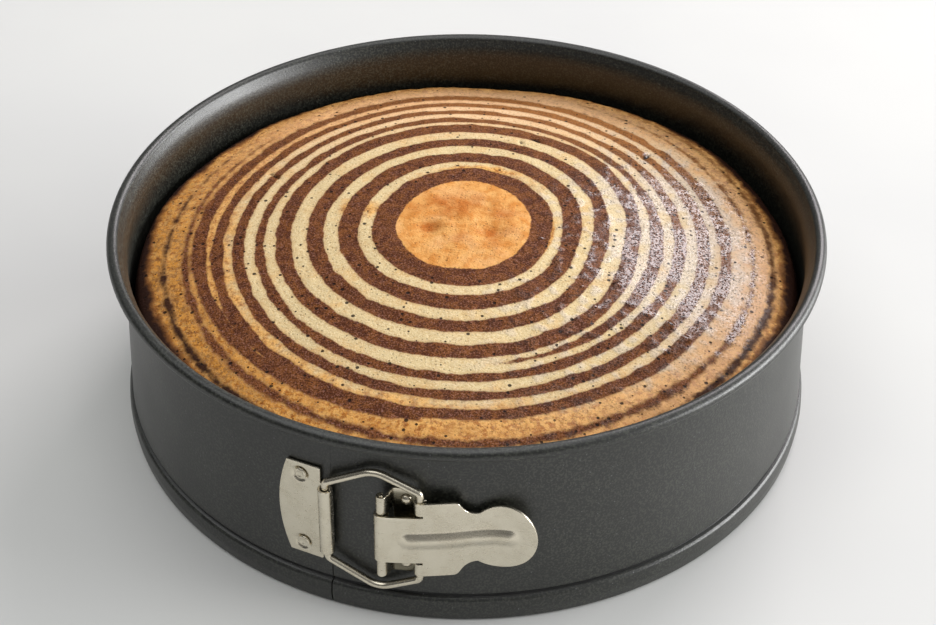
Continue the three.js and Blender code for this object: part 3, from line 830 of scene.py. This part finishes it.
def make_cake():
    profile = cake_profile()
    rings, segments = len(profile) - 1, 640
    angle = np.radians(np.arange(segments) * 360 / segments)
    x = np.append(np.outer(profile[1:, 0], np.sin(angle)), 0)
    y = np.append(np.outer(profile[1:, 0], -np.cos(angle)), 0)
    z = np.append(np.repeat(profile[1:, 1], segments), profile[0, 1])
    r, turn = np.hypot(x, y), np.degrees(np.arctan2(x, -y)) % 360

    coarse, medium, small = bump_noise(x, y)
    wet = wetness(r, turn, coarse, medium)
    fine = 0.2 * coarse + 0.08 * medium + wet * (0.05 * medium + 0.06 * small)
    fine = fine + smoothstep(r, 98, 108) * (0.25 * medium + 0.1 * small)
    holes, blisters = hole_depth(x, y), blister_height(x, y)
    raised = smoothstep(z, 46.2, 49.7) * (relief(x, y) + fine - holes + blisters)
    cake = add_mesh("cake_crumb", np.stack([x, y, z + raised], 1), cake_faces(rings, segments), cake_look)
    paint_cake(cake, r, turn, z, coarse, medium)
    write(cake, "brown", np.clip(1.7 * patches(x, y, SCORCHED), 0, 1))
    write(cake, "hole", smoothstep(holes, 0.25, 0.8))
    write(cake, "wet", np.maximum(wet, smoothstep(blisters, 0.1, 0.35)))
    dress(cake, "tin", "crumb", "cake")


# ---------------------------------------------------------------- the latch

lean = math.atan(WALL_SLOPE)
latch_frame = Matrix((
    (1, 0, 0, 0),
    (0, math.sin(lean), -math.cos(lean), -wall(LATCH_HEIGHT) * MM),
    (0, math.cos(lean), math.sin(lean), LATCH_HEIGHT * MM),
    (0, 0, 0, 1),
))
hinge_x = wall(LATCH_HEIGHT) * math.sin(HINGE_ANGLE)
hinge_z = wall(LATCH_HEIGHT) * (math.cos(HINGE_ANGLE) - 1)
hinge_frame = (latch_frame @ Matrix.Translation((hinge_x * MM, 0, hinge_z * MM))
               @ Matrix.Rotation(HINGE_ANGLE, 4, "Y"))
eye_height = PLATE_BACK + HINGE_RADIUS
axis_x = hinge_x + HINGE_EYE * math.cos(HINGE_ANGLE) + eye_height * math.sin(HINGE_ANGLE)
axis_z = hinge_z - HINGE_EYE * math.sin(HINGE_ANGLE) + eye_height * math.cos(HINGE_ANGLE)


def make_hinge_plate():
    """The left plate, rolled round the wire at its right end and dimpled round its rivets."""
    half, left, bulge, right, eye_half = 17.4, -4.4, 3.2, HINGE_EYE - 2.3, 12
    flat_start, rivet_y = -8, 13.2
    dimple, dimple_rim, dimple_floor = 0.62, 3.0, 2.2
    roll = arc((HINGE_EYE, eye_height), HINGE_RADIUS - SHEET / 2, -90, 212, 48)
    line = np.concatenate([[(flat_start, SHEET / 2 + PLATE_BACK)], roll])
    u = np.concatenate([[flat_start], lengths_to_end(roll, 0)])
    u[1:] += HINGE_EYE - u[1]
    bend = Bend(np.insert(u, 1, u[1] - 0.05), np.insert(line, 1, line[1] - [0.05, 0], 0))
    outline = np.concatenate([
        quadratic((left, half), (left - 2 * bulge, 0), (left, -half), 24),
        rounded([
            (left, -half), (right, -half, 0.6), (right, -eye_half, 0.3), (u[-1], -eye_half, 0.2),
            (u[-1], eye_half, 0.2), (right, eye_half, 0.3), (right, half, 0.6), (left, half),
        ], False)[1:-1],
    ])

    def place(points, depth):
        away = np.hypot(points[:, 0], np.abs(points[:, 1]) - rivet_y)
        sunk = dimple * smoothstep(away, dimple_rim, dimple_floor) * (1 - 0.8 * depth / SHEET)
        return from_bend(bend, points, depth - SHEET / 2, sunk)

    vertices, faces = pressed_sheet(outline, place, SHEET)
    dress(add_mesh("hinge_leaf", vertices, faces, steel_look, hinge_frame), "tin", "steel", "hinge_plate")
    head = rounded([
        (0, PLATE_BACK), (1.2, PLATE_BACK), (1.2, 0.72), (1.95, 0.72, 0.1), (1.95, 1.1, 0.25),
        (1.35, 1.34, 0.3), (0.75, 1.08, 0.3), (0, 1.05),
    ], False)
    for name, sign in (("top", 1), ("bottom", -1)):
        make_rivet("left_" + name, head, hinge_frame, 0, sign * rivet_y)


def make_rivet(name, profile, matrix, x, y):
    vertices, faces = revolve(profile, 40)
    moved = matrix @ Matrix.Translation((x * MM, y * MM, 0))
    dress(add_mesh("rivet_head_" + name, vertices, faces, steel_look, moved), "tin", "steel", "rivet_" + name)


def make_bracket():
    """The right plate under the lever, with its two rolled eyes, its rivets and the pin."""
    half, right, corner, foot, sheet = 15.9, 4.2, 1.6, -2.3, 0.75
    eye_from, eye_to, eye_radius = 9, 15.1, 1.5
    roll = arc((PIN_X, PIN_Z), eye_radius, 292, 24, 40)
    riser = rounded([tuple(roll[-1]), (-2.45, PLATE_FRONT, 0.9), (right, PLATE_FRONT)], False)
    line = np.concatenate([roll, divided(riser, 0.4, False)[1:]])
    u = lengths_to_end(line, right)
    bend = Bend(u, line)
    outline = rounded([
        (u[0], -eye_to, 0.3), (foot - 2.2, -eye_to, 0.3), (foot, -half, 0.4), (right - corner, -half, 0.5),
        (right, corner - half, 0.5), (right, half - corner, 0.5), (right - corner, half, 0.5),
        (foot, half, 0.4), (foot - 2.2, eye_to, 0.3), (u[0], eye_to, 0.3), (u[0], eye_from, 0.2),
        (foot, eye_from, 0.5), (foot, -eye_from, 0.5), (u[0], -eye_from, 0.2),
    ])

    def place(points, depth):
        return from_bend(bend, points, np.full(len(points), depth))

    vertices, faces = pressed_sheet(outline, place, sheet)
    plate = add_mesh("bracket_plate", vertices, faces, steel_look, latch_frame)
    # Painted shade on the plate under the lever: everywhere below the upper eye, but not on the rolled eyes
    # that stand further out.
    write(plate, "painted_shade", 0.8 * smoothstep(vertices[:, 1], 15.6, 13.6) * smoothstep(vertices[:, 2], 5.2, 3.6))
    dress(plate, "tin", "steel", "bracket")
    make_bracket_rivets()
    make_pin()


def make_bracket_rivets():
    rivet_x, rivet_y = 1.3, 12.2
    head = [(0, PLATE_BACK), (1.2, PLATE_BACK), (1.2, PLATE_FRONT + 0.02), (1.7, PLATE_FRONT + 0.02)]
    head += [tuple(p) for p in arc((0, 0), 1, 12, 90, 12) * [1.75, 1.3] + [0, PLATE_FRONT + 0.05]]
    head[-1] = (0, head[-1][1])
    for name, sign in (("top", 1), ("bottom", -1)):
        make_rivet("right_" + name, head, latch_frame, rivet_x, sign * rivet_y)


def make_pin():
    radius, half = 0.65, 15.4
    profile = rounded([(0, -half), (radius, -half, 0.15), (radius, half, 0.15), (0, half)], False)
    vertices, faces = revolve(divided(profile, 4, False), 32)
    upright = (latch_frame @ Matrix.Translation((PIN_X * MM, 0, PIN_Z * MM))
               @ Matrix.Rotation(-math.pi / 2, 4, "X"))
    dress(add_mesh("latch_pin", vertices, faces, steel_look, upright), "tin", "steel", "hinge_pin")


# Height of the lever's front face along its length.
FACE = [(PIN_X, PIN_Z + CURL), (4, 5.4), (14, 3), (21, 0.7), (27, -0.8), (33, -1.1), (40, -0.7)]


def face_line():
    """A smooth line through the points above, with its unit normals."""
    points = np.array([FACE[0], *FACE, FACE[-1]], float)
    line = []
    for k in range(len(FACE) - 1):
        before, start, end, after = points[k:k + 4]
        for t in np.linspace(0, 1, 24, endpoint=False):
            leaving, arriving = (end - before) / 2, (after - start) / 2
            line.append((2 * start - 2 * end + leaving + arriving) * t ** 3
                        + (3 * end - 3 * start - 2 * leaving - arriving) * t ** 2 + leaving * t + start)
    line.append(points[-1])
    return np.array(line)


def rolled_face(line, start_x, radius, turn):
    """The front face with its end rolled under from start_x, through turn degrees."""
    kept = line[line[:, 0] >= start_x]
    slope = (kept[1] - kept[0]) / np.linalg.norm(kept[1] - kept[0])
    normal = np.array((-slope[1], slope[0]))
    centre = kept[0] - radius * normal
    begin = math.degrees(math.atan2(normal[1], normal[0]))
    roll = arc(centre, radius, begin + turn, begin, 48)
    u = lengths_to_end(roll, kept[0, 0])
    return Bend(np.concatenate([u, kept[1:, 0]]), np.concatenate([roll, kept[1:]])), u[0]


def make_lever():
    """The pressed lever: rolled eyes, ears for the wire, a raised rib and the round paddle."""
    line = face_line()
    narrow, narrow_end = rolled_face(line, -5.3, CURL, 265)
    wide, wide_end = rolled_face(line, EYE_X + 0.4, EYE_RADIUS, 262)
    narrow_half, eye_from, wide_half, slot, sheet = 8.6, 9.4, 13.8, 6.8, 0.9
    rib_start, rib_end, rib_half, rib_height, rib_softness = 2.8, 31.1, 3.3, 1.45, 0.05
    paddle_x, paddle_radii, waist = 28.9, np.array((10.6, 11.6)), 128
    paddle = arc((0, 0), 1, -waist, 0, 40) * paddle_radii + [paddle_x, 0]
    shoulder = (17.6, -12.1)
    lower = np.concatenate([
        rounded([
            (narrow_end, -narrow_half, 0.4), (slot, -narrow_half, 0.38), (slot, -eye_from, 0.38),
            (wide_end, -eye_from, 0.3), (wide_end, -wide_half, 0.3), (16.5, -wide_half, 3.0),
            shoulder,
        ], False)[1:],
        quadratic(shoulder, (19.2, paddle[0, 1]), paddle[0], 12)[1:],
        paddle[1:],
    ])
    upper = lower[::-1][1:] * [1, -1]
    outline = np.concatenate([[(narrow_end, -narrow_half)], lower, upper, [(narrow_end, narrow_half)]])

    def place(points, depth):
        across = np.abs(points[:, 1])
        along = np.clip(points[:, 0], rib_start, rib_end)
        away = np.hypot(points[:, 0] - along, points[:, 1]) / rib_half
        raised = rib_height * np.clip(1 - np.sqrt(away ** 2 + rib_softness), 0, 1)
        raised = raised + 0.25 * smoothstep(points[:, 0], 28, 39)
        depth = np.full(len(points), depth)
        share = smoothstep(across, 8.5, 9.5)[:, None]
        inner, outer = (from_bend(bend, points, depth, -raised) for bend in (narrow, wide))
        return inner * (1 - share) + outer * share

    vertices, faces = pressed_sheet(outline, place, sheet)
    dress(add_mesh("latch_lever", vertices, faces, steel_look, latch_frame), "lever", "steel", "lever")


def make_bail():
    """The wire loop: a round tube along a line that is bent in its own plane."""
    length = math.hypot(EYE_X - axis_x, EYE_Z - axis_z)
    tilt = math.atan2(EYE_Z - axis_z, EYE_X - axis_x)
    hinge_half, end_half, tip = 14.4, 16.5, 13.9
    route = rounded([
        (length, tip), (length, end_half, 2.4), (14.8, 22.1, 7.5), (0, hinge_half, 2.4),
        (0, -hinge_half, 2.4), (15.8, -22.8, 7.5), (length, -end_half, 2.4), (length, -tip),
    ], False, math.radians(6))
    route = divided(route, 1.2, False)
    along = np.gradient(route, axis=0)
    along /= np.linalg.norm(along, axis=1, keepdims=True)
    sides = 24
    angles = np.arange(sides) * 2 * math.pi / sides
    vertices = []
    for point, way in zip(route, along):
        across = np.array((-way[1], way[0], 0))
        ring = np.outer(np.cos(angles), across) + np.outer(np.sin(angles), (0, 0, 1))
        vertices.append(np.append(point, 0) + WIRE * ring)
    faces = []
    for start in range(0, (len(route) - 1) * sides, sides):
        faces += bridge(range(start, start + sides), range(start + sides, start + 2 * sides))
    faces.append(tuple(reversed(range(sides))))
    faces.append(tuple((len(route) - 1) * sides + i for i in range(sides)))
    matrix = (latch_frame @ Matrix.Translation((axis_x * MM, 0, axis_z * MM))
              @ Matrix.Rotation(-tilt, 4, "Y"))
    dress(add_mesh("wire_loop", np.concatenate(vertices), faces, steel_look, matrix), "bail", "steel", "bail")


make_ring()
make_base()
make_cake()
make_hinge_plate()
make_bracket()
make_lever()
make_bail()

# ---------------------------------------------------------------- floor, light and camera

FLOOR_REACH, FLOOR_DROP = 3000, 0.05
# Soft lights that face the cake: name, azimuth and elevation in degrees, then distance, width and
# height in metres, watts, colour. Azimuth 0 is behind the cake, towards +Y, and 90 is +X.
LIGHTS = [
    ("window", 20, 36, 2.0, 0.9, 0.7, 19, (0.99, 0.93, 0.96)),
    ("window_side", 74, 14, 2.6, 2.4, 0.9, 76, (0.99, 0.995, 1.0)),
    ("ceiling", 250, 78, 2.6, 3.0, 3.0, 40, (0.99, 1.0, 1.0)),
    ("right_wall", 96, 8, 2.6, 1.2, 0.5, 22, (1.0, 1.0, 1.0)),
]
LIGHTS_AIM = Vector((0, 0, 0.05))
# The sky's colour, the way in which it is brightest, and how its strength follows from that way.
SKY_COLOUR, SKY_WAY = (0.98, 0.99, 1.0, 1), (0.6, 0.4, 0.7)
SKY_STRENGTH = (("From Min", -0.6), ("From Max", 0.9), ("To Min", 0.06), ("To Max", 0.42))
# The photo's viewpoint: a place in millimetres, and turns about X, Y and Z in degrees.
CAMERA_PLACE, CAMERA_TURN = (70.995, -444.445, 386.0), (51.2769, -0.2968, 9.2378)
LENS, SENSOR = 63.75, 36

corners = [(x * FLOOR_REACH, y * FLOOR_REACH, 0) for x, y in ((-1, -1), (1, -1), (1, 1), (-1, 1))]
floor = add_mesh("floor", corners, [(0, 1, 2, 3)], floor_material(), smooth=False)
floor.location.z = -FLOOR_DROP * MM


def add_light(name, azimuth, elevation, distance, width, height, power, colour):
    data = bpy.data.lights.new(name, "AREA")
    data.shape = "RECTANGLE"
    data.size, data.size_y, data.energy, data.color = width, height, power, colour
    a, e = math.radians(azimuth), math.radians(elevation)
    way = Vector((math.sin(a) * math.cos(e), math.cos(a) * math.cos(e), math.sin(e)))
    light = bpy.data.objects.new(name, data)
    light.location = LIGHTS_AIM + way * distance
    light.rotation_euler = way.to_track_quat("Z", "Y").to_euler()
    bpy.context.scene.collection.objects.link(light)


def make_sky():
    """Plain studio light from all round, stronger from the side that SKY_WAY names."""
    world = bpy.data.worlds.new("studio")
    world.use_nodes = True
    sky = world.node_tree
    facing = sky.nodes.new("ShaderNodeVectorMath")
    facing.operation = "DOT_PRODUCT"
    facing.inputs[1].default_value = SKY_WAY
    sky.links.new(sky.nodes.new("ShaderNodeTexCoord").outputs["Generated"], facing.inputs[0])
    level = sky.nodes.new("ShaderNodeMapRange")
    for key, value in SKY_STRENGTH:
        level.inputs[key].default_value = value
    sky.links.new(facing.outputs["Value"], level.inputs["Value"])
    sky.links.new(level.outputs[0], sky.nodes["Background"].inputs["Strength"])
    sky.nodes["Background"].inputs["Color"].default_value = SKY_COLOUR
    bpy.context.scene.world = world
    bpy.context.scene.view_settings.view_transform = "Standard"


def place_camera():
    camera = bpy.data.objects.new("camera", bpy.data.cameras.new("camera"))
    bpy.context.scene.collection.objects.link(camera)
    camera.location = Vector(CAMERA_PLACE) * MM
    camera.rotation_euler = [math.radians(turn) for turn in CAMERA_TURN]
    camera.data.lens, camera.data.sensor_width = LENS, SENSOR
    camera.data.clip_start, camera.data.clip_end = 0.01, 50
    bpy.context.scene.camera = camera


for row in LIGHTS:
    add_light(*row)
make_sky()
place_camera()
